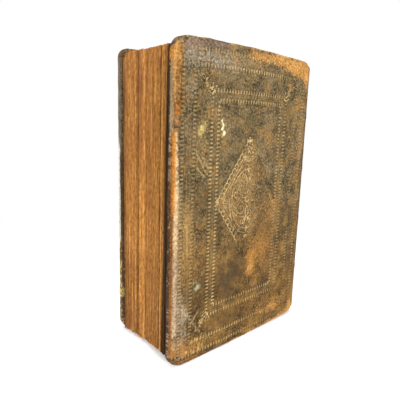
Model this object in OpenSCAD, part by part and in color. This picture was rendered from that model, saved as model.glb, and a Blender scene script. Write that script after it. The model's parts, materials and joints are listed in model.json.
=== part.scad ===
// Antique prayer book, bound in blind-tooled leather over wooden boards and standing on its tail edge.
// +Z runs from tail to head, +X from the fore-edge to the spine, and +Y from the back cover to the front cover.
// The origin is below the middle of the closed book.

/* [Covers] */
// Height of the covers, tail to head
cover_h = 160; // [140:1:180]
// Width of a cover, fore-edge to joint
cover_w = 99; // [96:1:104]
// Thickness of a cover, board and leather together
cover_t = 5.8; // [5.4:0.1:6.6]
// Thickness of the covering leather
leather_t = 1; // [0.8:0.1:1.2]
// Thickness of the leather turned in over the inner face
turn_in_t = 0.6; // [0.5:0.1:0.8]
// Width of the leather turned in over the inner face
turn_in_w = 13; // [10:1:18]
// Corner radius at the fore-edge and tail
corner_fore_tail = 7; // [6:0.5:10]
// Corner radius at the fore-edge and head
corner_fore_head = 7; // [4:0.5:8]
// Corner radius at the joint side
corner_joint = 4; // [3:0.5:5]

/* [Text block] */
// Thickness of one sewn gathering
gathering_t = 3.2; // [3:0.05:3.3]
// Gap between neighbouring gatherings
gathering_gap = 0.15; // [0.1:0.05:0.2]
// Thickness of a flyleaf
flyleaf_t = 0.3; // [0.2:0.05:0.4]
// How far the covers stand out beyond the pages at head, tail and fore-edge
square_w = 3; // [2:0.5:4]
// Depth of the hollow in the fore-edge
fore_hollow = 1; // [0.5:0.5:3]
// Gap between a cover and the flyleaf inside it
cover_gap = 0.2; // [0.2:0.05:0.3]
// Distance from the joint to the line where the leaves turn
gutter_w = 7.4; // [7:0.1:8]

/* [Spine] */
// How far the rounded spine bulges between its shoulders
spine_rise = 5.6; // [5:0.1:6]
// Radius of a sewing cord
cord_r = 1.1; // [0.9:0.1:1.3]
// Thickness of the lining glued between the cords
lining_t = 0.4; // [0.3:0.1:0.5]
// Radius of a headband with its silk
headband_r = 1.3; // [1.2:0.1:1.4]

/* [Lacing] */
// Distance from the joint to the lacing holes
lacing_w = 12; // [10:1:16]
// Radius of a lacing hole
lacing_r = 1.5; // [1.4:0.1:1.8]
// Radius of the wooden peg in a lacing hole
peg_r = 0.8; // [0.6:0.1:0.9]

/* [Hidden] */
$fn = 96;
CORDS = 4;
SECTION_FN = 24;
CLEAR = 1;

pitch = gathering_t + gathering_gap;
half_count = 6;
turning = 4;
block_half = half_count * pitch - gathering_gap / 2;
flyleaf_in = block_half + gathering_gap;
flyleaf_out = flyleaf_in + flyleaf_t;
cover_in = flyleaf_out + cover_gap;
cover_out = cover_in + cover_t;
board_in = cover_in + turn_in_t;
board_out = cover_out - leather_t;
block_z0 = square_w;
block_z1 = cover_h - square_w;

// The shoulders are where the rounded spine passes behind the boards' joint edges.
joint_gap = 0.2;
shoulder_x = cover_w + 1.6;
shoulder_half = cover_out - 0.2;
spine_out_r = (pow(shoulder_half, 2) + pow(spine_rise, 2)) / (2 * spine_rise);
spine_x = shoulder_x + spine_rise - spine_out_r;
lining_out_r = spine_out_r - leather_t;
fold_r = lining_out_r - lining_t;
cord_ring_r = fold_r + cord_r;
band_r = cord_r + leather_t;
fold_half = shoulder_half - leather_t - 0.5;
flare = fold_half / block_half;
flare_x0 = cover_w + joint_gap;
flare_x1 = cover_w + 0.8;
overall_w = spine_x + cord_ring_r + band_r;

fore_r = (pow(block_half, 2) + pow(fore_hollow, 2)) / (2 * fore_hollow);
fore_x = square_w + fore_hollow - fore_r;

// A turning gathering narrows to a neck with a round end on its pivot line.
pivot_x = cover_w - gutter_w;
neck_half = 0.5;
neck_w = 3.6;
taper_w = 2.5;
fold_x = pivot_x + neck_half + 0.2;

kettle_r = 0.4;
kettle_inset = 7;
headband_core_r = 0.8;
board_joint_gap = 0.2;
tunnel_roof = 0.6;
pastedown_t = 0.3;
spine_end_gap = 0.6;
lining_cord_gap = 0.3;

function cord_z(i) = cover_h * i / (CORDS + 1);
function gathering_y(i) = gathering_gap / 2 + i * pitch;
function half_angle(y, r) = asin(y / r);

// ---- helpers ----

// Puts a piece that is drawn with its corner at the fore-edge into the book's own frame.
module centred() {
    translate([-overall_w / 2, 0, 0]) children();
}

// Draws a front piece as it is and a back piece as its mirror image.
module on_side(side) {
    centred() mirror([0, side == "back" ? 1 : 0, 0]) children();
}

// What is cut off a corner to round it. Inward points from the corner into the outline.
module corner_waste(corner, inward, r) {
    translate(corner) difference() {
        translate([inward.x > 0 ? -CLEAR : -r, inward.y > 0 ? -CLEAR : -r]) square(r + CLEAR);
        translate(inward * r) circle(r);
    }
}

// Outline of a cover, smaller all round by inset, with its joint side at x1.
module cover_outline(inset, x1) {
    difference() {
        translate([inset, inset]) square([x1 - inset, cover_h - 2 * inset]);
        corner_waste([inset, inset], [1, 1], corner_fore_tail - inset);
        corner_waste([inset, cover_h - inset], [1, -1], corner_fore_head - inset);
        corner_waste([x1, inset], [-1, 1], corner_joint - inset);
        corner_waste([x1, cover_h - inset], [-1, -1], corner_joint - inset);
    }
}

// Stands an outline up in the XZ plane, from y0 to y1.
module upright(y0, y1) {
    translate([0, y1, 0]) rotate([90, 0, 0]) linear_extrude(y1 - y0) children();
}

// A block from one corner to the other.
module block(low, high) {
    translate(low) cube(high - low);
}

// A round rod bent along the spine at radius r, out to the given distance each side of the middle.
module spine_rod(r, rod_r, half_w, z) {
    a = half_angle(half_w, r);
    translate([spine_x, 0, z]) rotate([0, 0, -a]) rotate_extrude(angle = 2 * a)
        translate([r, 0]) circle(rod_r, $fn = SECTION_FN);
}

// A curved sheet round the spine between two radii.
module spine_sheet(r0, r1, half_w, z0, z1) {
    a = half_angle(half_w, r1);
    translate([spine_x, 0, z0]) rotate([0, 0, -a]) rotate_extrude(angle = 2 * a)
        translate([r0, 0]) square([r1 - r0, z1 - z0]);
}

// The grooves that the kettle stitches lie in.
module kettle_grooves() {
    for (z = [block_z0 + kettle_inset, block_z1 - kettle_inset])
        spine_rod(fold_r - kettle_r, kettle_r, fold_half + CLEAR, z);
}

// A sewn gathering from x0 back to its fold on the rounded spine. y0 and y1 are its two faces.
module folded_gathering(x0, y0, y1) {
    beyond_x = overall_w + CLEAR;
    difference() {
        intersection() {
            translate([0, 0, block_z0]) linear_extrude(block_z1 - block_z0) polygon([
                [x0, y0], [flare_x0, y0], [flare_x1, y0 * flare], [beyond_x, y0 * flare],
                [beyond_x, y1 * flare], [flare_x1, y1 * flare], [flare_x0, y1], [x0, y1]
            ]);
            translate([spine_x, 0, 0]) cylinder(h = cover_h, r = fold_r);
        }
        kettle_grooves();
    }
}

// The hollow of the fore-edge, as a cutter.
module fore_edge_cutter() {
    translate([fore_x, 0, 0]) cylinder(h = cover_h, r = fore_r);
}

// The leaves of a gathering that turn about the gutter: a slab, a taper and a narrow neck.
module turning_leaves(y0, y1) {
    middle = (y0 + y1) / 2;
    half = (y1 - y0) / 2;
    neck = min(half, neck_half);
    difference() {
        translate([0, middle, block_z0]) linear_extrude(block_z1 - block_z0) union() {
            polygon([
                [0, -half], [pivot_x - neck_w - taper_w, -half], [pivot_x - neck_w, -neck], [pivot_x, -neck],
                [pivot_x, neck], [pivot_x - neck_w, neck], [pivot_x - neck_w - taper_w, half], [0, half]
            ]);
            translate([pivot_x, 0]) circle(neck, $fn = SECTION_FN);
        }
        fore_edge_cutter();
    }
}

// ---- covers ----

module board(side) {
    color("#b08a58") on_side(side) difference() {
        upright(board_in, board_out) cover_outline(leather_t, cover_w - board_joint_gap);
        for (i = [1 : CORDS]) {
            translate([cover_w - lacing_w, 0, cord_z(i)]) rotate([-90, 0, 0]) cylinder(h = cover_out, r = lacing_r);
            slip_run(i, CLEAR);
        }
    }
}

// The run of a slip in its tunnel from the board's joint edge. Extra lengthens it past the joint.
module slip_run(i, extra) {
    translate([cover_w - lacing_w, board_out - tunnel_roof - cord_r, cord_z(i)]) rotate([0, 90, 0])
        cylinder(h = lacing_w - board_joint_gap + extra, r = cord_r);
}

module cord_slips(side) {
    color("#c9b48a") on_side(side) for (i = [1 : CORDS]) difference() {
        union() {
            slip_run(i, 0);
            translate([cover_w - lacing_w, board_in, cord_z(i)]) rotate([-90, 0, 0])
                cylinder(h = board_out - board_in, r = lacing_r);
        }
        peg(i);
    }
}

module peg(i) {
    translate([cover_w - lacing_w, board_in, cord_z(i)]) rotate([-90, 0, 0])
        cylinder(h = board_out - board_in, r = peg_r);
}

module lacing_pegs(side) {
    color("#8a6238") on_side(side) for (i = [1 : CORDS]) peg(i);
}

// The opening that the turned-in leather leaves round the pastedown.
module turn_in_window(y0, y1) {
    block([turn_in_w, y0, turn_in_w], [cover_w + CLEAR, y1, cover_h - turn_in_w]);
}

module cover_leather(side) {
    color("#5d4a30") on_side(side) difference() {
        upright(cover_in, cover_out) cover_outline(0, cover_w);
        upright(board_in, board_out) union() {
            cover_outline(leather_t, cover_w - board_joint_gap);
            translate([cover_w / 2, corner_joint + leather_t])
                square([cover_w, cover_h - 2 * (corner_joint + leather_t)]);
        }
        turn_in_window(cover_in - CLEAR, board_in);
    }
}

module pastedown(side) {
    color("#d8c49a") on_side(side) intersection() {
        turn_in_window(board_in - pastedown_t, board_in);
        block([0, 0, 0], [cover_w - board_joint_gap, cover_out, cover_h]);
    }
}

// ---- text block ----

module flyleaf(side) {
    color("#d6c096") on_side(side) turning_leaves(flyleaf_in, flyleaf_out);
}

// Gathering n counts from 1 beside the cover to 4 beside the fixed middle gatherings.
module turning_gathering(side, n) {
    y0 = gathering_y(half_count - n);
    color("#b98450") on_side(side) turning_leaves(y0, y0 + gathering_t);
}

// Middle gathering n counts from 1 on the front side to 4 on the back side.
module middle_gathering(n) {
    side = n <= 2 ? "front" : "back";
    y0 = gathering_y(n <= 2 ? 2 - n : n - 3);
    color("#b27c48") on_side(side) difference() {
        folded_gathering(0, y0, y0 + gathering_t);
        fore_edge_cutter();
    }
}

// The sewn folds of the turning gatherings, with the stub of the flyleaf outside them.
module bound_folds(side) {
    color("#a87645") on_side(side) {
        for (n = [1 : turning]) {
            y0 = gathering_y(half_count - n);
            folded_gathering(fold_x, y0, y0 + gathering_t);
        }
        block([fold_x, flyleaf_in, block_z0], [cover_w - joint_gap, flyleaf_out, block_z1]);
    }
}

// ---- spine ----

module kettle_stitch(z) {
    color("#e3d8bd") centred() spine_rod(fold_r - kettle_r, kettle_r, fold_half - CLEAR, z);
}

module sewing_cord(i) {
    color("#cdb98f") centred() spine_rod(cord_ring_r, cord_r, fold_half - CLEAR, cord_z(i));
}

// Lining panel n counts from 1 at the tail to 5 at the head.
module spine_lining(n) {
    clear = cord_r + lining_cord_gap;
    z0 = n == 1 ? block_z0 : cord_z(n - 1) + clear;
    z1 = n == CORDS + 1 ? block_z1 : cord_z(n) - clear;
    color("#e6dcc0") centred() spine_sheet(fold_r, lining_out_r, fold_half - CLEAR, z0, z1);
}

module band_core(z) {
    color("#cbb78c") centred() spine_rod(fold_r - headband_r, headband_core_r, block_half - headband_r, z);
}

module band_silk(z) {
    color("#8c6a3c") centred() difference() {
        spine_rod(fold_r - headband_r, headband_r, block_half - headband_r, z);
        spine_rod(fold_r - headband_r, headband_core_r, block_half, z);
    }
}

// Leather over the rounded spine, raised into a band over each sewing cord.
module spine_leather() {
    color("#523f29") centred() difference() {
        intersection() {
            union() {
                spine_sheet(fold_r, spine_out_r, shoulder_half + CLEAR, spine_end_gap, cover_h - spine_end_gap);
                for (i = [1 : CORDS])
                    spine_rod(cord_ring_r, band_r, shoulder_half - band_r, cord_z(i));
            }
            block([flare_x1, -shoulder_half, 0], [overall_w, shoulder_half, cover_h]);
        }
        translate([spine_x, 0, 0]) cylinder(h = cover_h, r = lining_out_r);
        for (i = [1 : CORDS]) spine_rod(cord_ring_r, cord_r, fold_half - CLEAR, cord_z(i));
    }
}

// ---- nodes ----

board("front");  // front_board
cover_leather("front");  // front_cover_leather
pastedown("front");  // front_pastedown
cord_slips("front");  // front_cord_slips
lacing_pegs("front");  // front_lacing_pegs
board("back");  // back_board
cover_leather("back");  // back_cover_leather
pastedown("back");  // back_pastedown
cord_slips("back");  // back_cord_slips
lacing_pegs("back");  // back_lacing_pegs
flyleaf("front");  // front_flyleaf
turning_gathering("front", 1);  // front_gathering_1
turning_gathering("front", 2);  // front_gathering_2
turning_gathering("front", 3);  // front_gathering_3
turning_gathering("front", 4);  // front_gathering_4
middle_gathering(1);  // middle_gathering_1
middle_gathering(2);  // middle_gathering_2
middle_gathering(3);  // middle_gathering_3
middle_gathering(4);  // middle_gathering_4
turning_gathering("back", 4);  // back_gathering_4
turning_gathering("back", 3);  // back_gathering_3
turning_gathering("back", 2);  // back_gathering_2
turning_gathering("back", 1);  // back_gathering_1
flyleaf("back");  // back_flyleaf
bound_folds("front");  // front_bound_folds
bound_folds("back");  // back_bound_folds
kettle_stitch(block_z1 - kettle_inset);  // head_kettle_stitch
kettle_stitch(block_z0 + kettle_inset);  // tail_kettle_stitch
sewing_cord(1);  // sewing_cord_1
sewing_cord(2);  // sewing_cord_2
sewing_cord(3);  // sewing_cord_3
sewing_cord(4);  // sewing_cord_4
spine_lining(1);  // spine_lining_1
spine_lining(2);  // spine_lining_2
spine_lining(3);  // spine_lining_3
spine_lining(4);  // spine_lining_4
spine_lining(5);  // spine_lining_5
band_core(block_z1 + headband_r);  // headband_core
band_silk(block_z1 + headband_r);  // headband_silk
band_core(block_z0 - headband_r);  // tailband_core
band_silk(block_z0 - headband_r);  // tailband_silk
spine_leather();
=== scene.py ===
"""Antique prayer book in blind-tooled leather: its looks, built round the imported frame.

Lengths are in millimetres until a mesh is made. A place on the book is (u, y, z): u runs from the fore-edge
to the spine, y from the back cover to the front cover, and z from tail to head.
"""
import json
import math

import bpy
import numpy as np
from mathutils import Matrix, Vector, kdtree


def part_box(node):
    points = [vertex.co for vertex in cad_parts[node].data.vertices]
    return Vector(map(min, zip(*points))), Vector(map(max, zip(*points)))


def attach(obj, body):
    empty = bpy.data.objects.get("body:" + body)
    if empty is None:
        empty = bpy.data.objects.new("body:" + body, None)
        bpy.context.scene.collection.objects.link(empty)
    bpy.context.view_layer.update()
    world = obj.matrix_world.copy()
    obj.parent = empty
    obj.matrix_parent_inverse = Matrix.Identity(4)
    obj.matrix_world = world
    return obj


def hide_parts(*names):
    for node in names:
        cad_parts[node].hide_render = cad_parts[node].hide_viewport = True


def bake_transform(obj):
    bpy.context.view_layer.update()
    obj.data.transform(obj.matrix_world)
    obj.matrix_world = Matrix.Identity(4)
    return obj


MM = 0.001
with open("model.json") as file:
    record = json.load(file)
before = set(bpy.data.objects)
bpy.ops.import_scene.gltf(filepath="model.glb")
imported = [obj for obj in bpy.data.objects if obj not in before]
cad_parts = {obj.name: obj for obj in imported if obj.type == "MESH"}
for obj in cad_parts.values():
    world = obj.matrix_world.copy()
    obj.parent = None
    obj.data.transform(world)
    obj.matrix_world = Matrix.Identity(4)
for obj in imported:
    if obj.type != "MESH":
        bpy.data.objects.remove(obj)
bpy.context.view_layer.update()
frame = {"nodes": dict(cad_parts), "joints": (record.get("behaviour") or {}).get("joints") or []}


# ------------------------------ sizes, from the frame

def box_mm(node):
    low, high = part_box(node)
    return np.array(low) / MM, np.array(high) / MM


SKIN_LOW, SKIN_HIGH = box_mm("back_cover_leather")
FORE_X = SKIN_LOW[0]
COVER_W = SKIN_HIGH[0] - FORE_X
COVER_H = SKIN_HIGH[2]
COVER_OUT = -SKIN_LOW[1]
COVER_IN = -SKIN_HIGH[1]
COVER_T = COVER_OUT - COVER_IN
BLOCK_LOW, BLOCK_HIGH = box_mm("front_gathering_1")
BLOCK_Z0, BLOCK_Z1 = BLOCK_LOW[2], BLOCK_HIGH[2]
BLOCK_HALF = BLOCK_HIGH[1]
FORE_U = BLOCK_LOW[0] - FORE_X
FORE_HOLLOW = box_mm("middle_gathering_2")[0][0] - BLOCK_LOW[0]
CORD_Z = [sum(box_mm(f"sewing_cord_{i}")[k][2] for k in (0, 1)) / 2 for i in (1, 2, 3, 4)]
HINGE = {j["name"]: j["pos_m"] for j in frame["joints"]}
PIVOT_U = HINGE["back_flyleaf_turn"][0] / MM - FORE_X
JOINT_U = HINGE["back_cover_hinge"][0] / MM - FORE_X
SIGN = {"front": 1, "back": -1}

# The rounded spine is a part of a cylinder, which the box of a lining panel gives.
LINING_LOW, LINING_HIGH = box_mm("spine_lining_3")
LINING_T = 0.4
LEATHER_T = 1.0
LINING_CHORD = LINING_HIGH[1]
LINING_RISE = LINING_HIGH[0] - LINING_LOW[0] - LINING_T
SPINE_R = (LINING_CHORD ** 2 + LINING_RISE ** 2) / (2 * LINING_RISE) + LEATHER_T
SPINE_U = LINING_HIGH[0] - FORE_X + LEATHER_T - SPINE_R
FOLD_R = SPINE_R - LEATHER_T - LINING_T


# ------------------------------ noise

NOISE_GAIN = 1.6     # brings the mean of the octaves back to about -1 to 1


def lattice(cell, seed):
    """A repeatable number from 0 to 1 for each whole-numbered cell."""
    h = cell[:, 0] * 374761393 + cell[:, 1] * 668265263 + cell[:, 2] * 2147483647 + seed * 1274126177
    h = (h ^ (h >> 13)) * 1274126177
    h = h ^ (h >> 16)
    return (h & 0xFFFFFF) / float(0xFFFFFF)


def noise(points, size, seed, octaves=3):
    """Smooth noise from about -1 to 1 at (n, 3) points, with features of the given size."""
    total = np.zeros(len(points))
    weight, reach = 1.0, 0.0
    for octave in range(octaves):
        p = points / size * 2 ** octave
        cell = np.floor(p).astype(np.int64)
        f = p - cell
        f = f * f * (3 - 2 * f)
        value = np.zeros(len(points))
        for corner in range(8):
            step = np.array([corner & 1, corner >> 1 & 1, corner >> 2 & 1])
            share = np.prod(np.where(step, f, 1 - f), axis=1)
            value += share * lattice(cell + step, seed + octave)
        total += weight * (value * 2 - 1)
        reach += weight
        weight *= 0.5
    return total / reach * NOISE_GAIN


def stacked(*values):
    """A row of values for each point of a grid, from grids and single numbers."""
    return np.stack(np.broadcast_arrays(*values), -1).reshape(-1, len(values))


def noise2(u, z, size, seed, octaves=3):
    return noise(stacked(u, z, 0.0), size, seed, octaves).reshape(np.broadcast(u, z).shape)


def ramp(x, low, high):
    """0 below low, 1 above high, and smooth in between."""
    t = np.clip((x - low) / (high - low), 0, 1)
    return t * t * (3 - 2 * t)


# ------------------------------ meshes

def place(u, y, z):
    """Points on the book as frame points in metres."""
    return stacked(u + FORE_X, y, z) * MM


def grid_quads(rows, columns, flip=False, closed=False):
    """Quads of a grid of points stored row by row. A closed grid joins its last column to its first."""
    r = np.arange(rows - 1)[:, None]
    c = np.arange(columns if closed else columns - 1)[None, :]
    d = (c + 1) % columns
    q = stacked(r * columns + c, r * columns + d, (r + 1) * columns + d, (r + 1) * columns + c)
    return q[:, ::-1] if flip else q


def linked(name, data):
    item = bpy.data.objects.new(name, data)
    bpy.context.scene.collection.objects.link(item)
    return item


def add_piece(name, points, faces, material, paint=None, smooth=True, tint=None, flat=None):
    mesh = bpy.data.meshes.new(name)
    mesh.from_pydata(points.tolist(), [], [list(map(int, f)) for f in faces])
    mesh.materials.append(material)
    mesh.polygons.foreach_set("use_smooth", [smooth] * len(mesh.polygons))
    for layer_name, values in (("paint", paint), ("tint", tint)):
        if values is not None:
            layer = mesh.color_attributes.new(layer_name, "FLOAT_COLOR", "POINT")
            layer.data.foreach_set("color", np.clip(values, 0, 1).astype(np.float32).ravel())
    if flat is not None:
        layer = mesh.attributes.new("flat", "FLOAT_VECTOR", "POINT")
        layer.data.foreach_set("vector", flat.astype(np.float32).ravel())
    mesh.update()
    return linked(name, mesh)


# ------------------------------ layout of the tooling

# A roll is (outer teeth, fillets, inner teeth), each at its distance outside the border's half size.
BORDER_CENTRE, BORDER_HALF, BORDER_ROLL = (49.3, 79.8), (40.0, 70.6), (4.9, (0.0, 1.8), -2.2)
INNER_CENTRE, INNER_HALF, INNER_ROLL = (50.1, 80.2), (25.2, 54.5), (2.75, (0.0, 1.0), -1.9)
LOZENGE_CENTRE, LOZENGE_HALF = (49.9, 82.2), (22.2, 31.2)
LINE_HALF = 0.24
DOT_STEP = 0.22
TOOTH_PITCH = 1.95
TOOTH_LONG = 1.9


# ------------------------------ materials

def srgb(r, g, b):
    """A colour from 0-255 display values, as the linear values that Blender mixes."""
    linear = [(v / 255 / 12.92) if v <= 10 else ((v / 255 + 0.055) / 1.055) ** 2.4 for v in (r, g, b)]
    return (*linear, 1.0)


class Shade:
    """Adds nodes to one material. A value is a number or a socket. A colour is a socket or three display values."""

    def __init__(self, name):
        self.material = bpy.data.materials.new(name)
        self.material.use_nodes = True
        self.nodes = self.material.node_tree.nodes
        self.shader = self.nodes["Principled BSDF"]
        self.where = self.node("TexCoord").outputs["Object"]

    def put(self, socket, value):
        if isinstance(value, bpy.types.NodeSocket):
            self.material.node_tree.links.new(value, socket)
        else:
            socket.default_value = value

    def node(self, kind, inputs=None, **settings):
        node = self.nodes.new("ShaderNode" + kind)
        for name, value in settings.items():
            setattr(node, name, value)
        for socket, value in (inputs or {}).items():
            self.put(node.inputs[socket], value)
        return node

    def stretched(self, scale):
        return self.node("Mapping", {"Scale": scale, "Vector": self.where}).outputs["Vector"]

    def noise(self, size, detail, rough, vector=None):
        """Noise with features of that size in millimetres."""
        return self.node("TexNoise", {"Scale": 1 / (size * MM), "Detail": detail, "Roughness": rough,
                                      "Vector": vector or self.where}).outputs["Fac"]

    def cells(self, size):
        return self.node("TexVoronoi", {"Scale": 1 / (size * MM), "Vector": self.where}).outputs["Distance"]

    def distance(self, point):
        return self.node("VectorMath", {0: self.where, 1: point}, operation="DISTANCE").outputs["Value"]

    def fit(self, value, low, high, out_low=0.0, out_high=1.0, how="LINEAR"):
        return self.node("MapRange", {"Value": value, "From Min": low, "From Max": high, "To Min": out_low,
                                      "To Max": out_high}, interpolation_type=how).outputs["Result"]

    def smooth(self, value, low, high, out_low=0.0, out_high=1.0):
        return self.fit(value, low, high, out_low, out_high, "SMOOTHSTEP")

    def math(self, operation, *values, clamp=False):
        """One value put through an operation, or several joined by it from left to right."""
        result = values[0]
        for value in values[1:] or (0.0,):
            result = self.node("Math", {0: result, 1: value}, operation=operation, use_clamp=clamp).outputs[0]
        return result

    def plus(self, *values):
        return self.math("ADD", *values)

    def minus(self, *values):
        return self.math("SUBTRACT", *values)

    def times(self, *values):
        return self.math("MULTIPLY", *values)

    def most(self, *values):
        return self.math("MAXIMUM", *values)

    def size(self, value):
        return self.math("ABSOLUTE", value)

    def mix(self, share, a, b):
        a, b = (srgb(*c) if isinstance(c, tuple) and len(c) == 3 else c for c in (a, b))
        return self.node("Mix", {0: share, 6: a, 7: b}, data_type="RGBA").outputs[2]

    def under(self, colour, *layers):
        """The colour under layers of (share, colour)."""
        for share, layer in layers:
            colour = self.mix(share, colour, layer)
        return colour

    def stored(self, name, *outputs):
        """Outputs of one attribute of the mesh."""
        node = self.node("Attribute", attribute_name=name)
        return [node.outputs[output] for output in outputs]

    def paint(self):
        """The piece's four painted masks."""
        colour, alpha = self.stored("paint", "Color", "Alpha")
        return (*self.node("SeparateColor", {0: colour}).outputs[:3], alpha)

    def roll(self, u, z, centre, half, teeth_out, fillets, teeth_in):
        """A tooled border with mitred corners: where its teeth, its fillets and the ground of its teeth are."""
        pu, pz = self.minus(u, centre[0]), self.minus(z, centre[1])
        a, b = self.minus(self.size(pu), half[0]), self.minus(self.size(pz), half[1])
        beyond = self.most(a, b)
        upright = self.math("GREATER_THAN", a, b)
        along = self.plus(self.times(upright, pz), self.times(self.minus(1.0, upright), pu))
        phase = self.size(self.minus(self.math("FRACT", self.math("DIVIDE", along, TOOTH_PITCH)), 0.5))
        teeth, lines, ground = 0.0, 0.0, 0.0
        for offset, way in ((teeth_out, 1), (teeth_in, -1)):
            across = self.times(self.minus(beyond, offset), way)
            inside = self.smooth(self.size(across), TOOTH_LONG * 0.62, TOOTH_LONG * 0.40)
            wide = self.fit(across, -TOOTH_LONG / 2, TOOTH_LONG / 2, 0.33, 0.16)
            teeth = self.most(teeth, self.times(inside, self.smooth(self.minus(wide, phase), -0.06, 0.10)))
            ground = self.most(ground, self.smooth(self.size(across), TOOTH_LONG * 0.85, TOOTH_LONG * 0.5))
        for offset in fillets:
            lines = self.most(lines, self.smooth(self.size(self.minus(beyond, offset)), 0.42, 0.14))
        return teeth, lines, ground

    def bump(self, height, distance, normal=None):
        inputs = {"Distance": distance * MM, "Strength": 1.0, "Height": height}
        if normal is not None:
            inputs["Normal"] = normal
        return self.node("Bump", inputs).outputs["Normal"]

    def finish(self, colour, roughness, specular, normal=None, **uniform):
        inputs = {"Base Color": colour, "Roughness": roughness, "Specular IOR Level": specular, **uniform}
        if normal is not None:
            inputs["Normal"] = normal
        for name, value in inputs.items():
            self.put(self.shader.inputs[name], value)
        return self.material


def leather_material():
    """Paint holds the pressed ornament, the wear to suede, the darkening, with painted shade at the inner end of the
    fore-edge wall, and the gloss.
    Tint is a colour with its strength: stains, painted highlights, painted sheen and painted shade. Flat holds the
    place on the cover and how well the borders are kept there."""
    s = Shade("tooled_leather")
    tool, wear, dark, gloss = s.paint()
    tint, tint_share = s.stored("tint", "Color", "Alpha")
    u, z, kept = s.node("SeparateXYZ", {0: s.stored("flat", "Vector")[0]}).outputs
    broad, patchy, mottle = s.noise(15, 5, 0.65), s.noise(7, 5, 0.72), s.noise(4.2, 5, 0.72)
    speck, fine, pores = s.noise(1.15, 4, 0.8), s.noise(0.7, 3, 0.8), s.cells(0.85)
    grain = s.plus(s.times(speck, 0.7), s.times(mottle, 0.3))
    # Greyer towards the head and browner towards the tail: the grey at the head is painted sheen.
    low = s.smooth(z, 100, 25)
    deep, light = s.mix(low, (61, 51, 32), (58, 39, 15)), s.mix(low, (107, 91, 64), (112, 80, 36))
    base = s.under(s.mix(s.fit(broad, 0.36, 0.64), deep, light),
                   (s.fit(patchy, 0.51, 0.64, 0, 0.72), (134, 96, 44)),
                   (s.fit(patchy, 0.47, 0.36, 0, 0.75), (38, 28, 12)),
                   (s.fit(mottle, 0.50, 0.64, 0, 0.66), (36, 25, 10)),
                   (s.fit(mottle, 0.46, 0.36, 0, 0.4), (146, 116, 66)),
                   (s.fit(speck, 0.50, 0.63, 0, 0.5), s.mix(low, (168, 144, 98), (166, 126, 64))),
                   (s.fit(speck, 0.48, 0.36, 0, 0.45), (30, 20, 8)),
                   (s.fit(pores, 0.0, 0.28, 0.5, 0.0), (28, 18, 8)))
    # The tint's share: stains, and also painted highlights, painted sheen and painted shade.
    stain_and_light_share = s.fit(s.plus(tint_share, s.fit(grain, 0.34, 0.66, -0.30, 0.30)), 0.25, 0.85)
    toned = s.mix(s.fit(speck, 0.36, 0.62), s.mix(0.5, tint, (26, 15, 7)), s.mix(0.06, tint, (255, 222, 156)))
    suede = s.under(s.mix(s.fit(speck, 0.36, 0.64), (144, 96, 38), (207, 158, 92)),
                    (s.fit(patchy, 0.56, 0.36, 0, 0.45), (122, 76, 24)),
                    (s.fit(fine, 0.52, 0.32, 0, 0.45), (84, 48, 12)))
    worn = s.fit(s.plus(wear, s.fit(grain, 0.34, 0.66, -0.36, 0.36)), 0.34, 0.86)
    # Dark leather for the dark mask, which also carries painted shade at the inner end of the fore-edge wall.
    darkening_and_shade = s.mix(s.fit(speck, 0.4, 0.62), (22, 13, 7), (62, 38, 24))
    rolls = [s.roll(u, z, BORDER_CENTRE, BORDER_HALF, *BORDER_ROLL), s.roll(u, z, INNER_CENTRE, INNER_HALF, *INNER_ROLL)]
    teeth, lines, ground = (s.most(a, b) for a, b in zip(*rolls))
    clear = s.times(kept, s.fit(worn, 0, 1, 1.0, 0.35), s.fit(mottle, 0.30, 0.60, 1.1, 0.45))
    clear = s.math("MINIMUM", clear, 1.0)
    # Tan of the tooling: partly its worn colour, partly painted highlight.
    tooling_tan_and_highlight = s.mix(s.fit(fine, 0.35, 0.65), (150, 120, 70), (218, 190, 132))
    lit = s.times(tool, s.fit(grain, 0.36, 0.58, 0.6, 1.0))
    colour = s.under(base, (stain_and_light_share, toned), (worn, suede),
                     (s.times(dark, s.fit(speck, 0.3, 0.6, 1.0, 0.7)), darkening_and_shade),
                     # Painted shade in the ground between the teeth.
                     (s.times(clear, ground, 0.42), (40, 28, 12)),
                     (s.times(clear, lines, 0.5), (134, 110, 70)),
                     # Painted highlight on the teeth.
                     (s.times(clear, s.smooth(u, 6, 26, 0.42, 0.85), teeth), tooling_tan_and_highlight),
                     # Painted shade at the edges of the pressed ornament, and painted highlight on its middle.
                     (s.times(s.smooth(tool, 0.02, 0.35), 0.45), (44, 31, 15)),
                     (s.times(s.smooth(lit, 0.3, 0.8), s.fit(worn, 0, 1, 0.82, 0.5)), tooling_tan_and_highlight))
    dull = s.most(worn, dark, s.fit(gloss, 0, 1, 0.6, 0.0))
    roughness = s.plus(s.fit(dull, 0, 1, 0.32, 0.80), s.fit(speck, 0.3, 0.7, -0.05, 0.09))
    normal = s.bump(s.plus(s.fit(pores, 0.0, 0.5), s.times(speck, 1.8)), 0.16)
    pressed = s.times(clear, s.minus(s.plus(teeth, lines), s.times(ground, 0.6)))
    return s.finish(colour, roughness, 0.1, s.bump(pressed, 0.28, normal))


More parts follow.
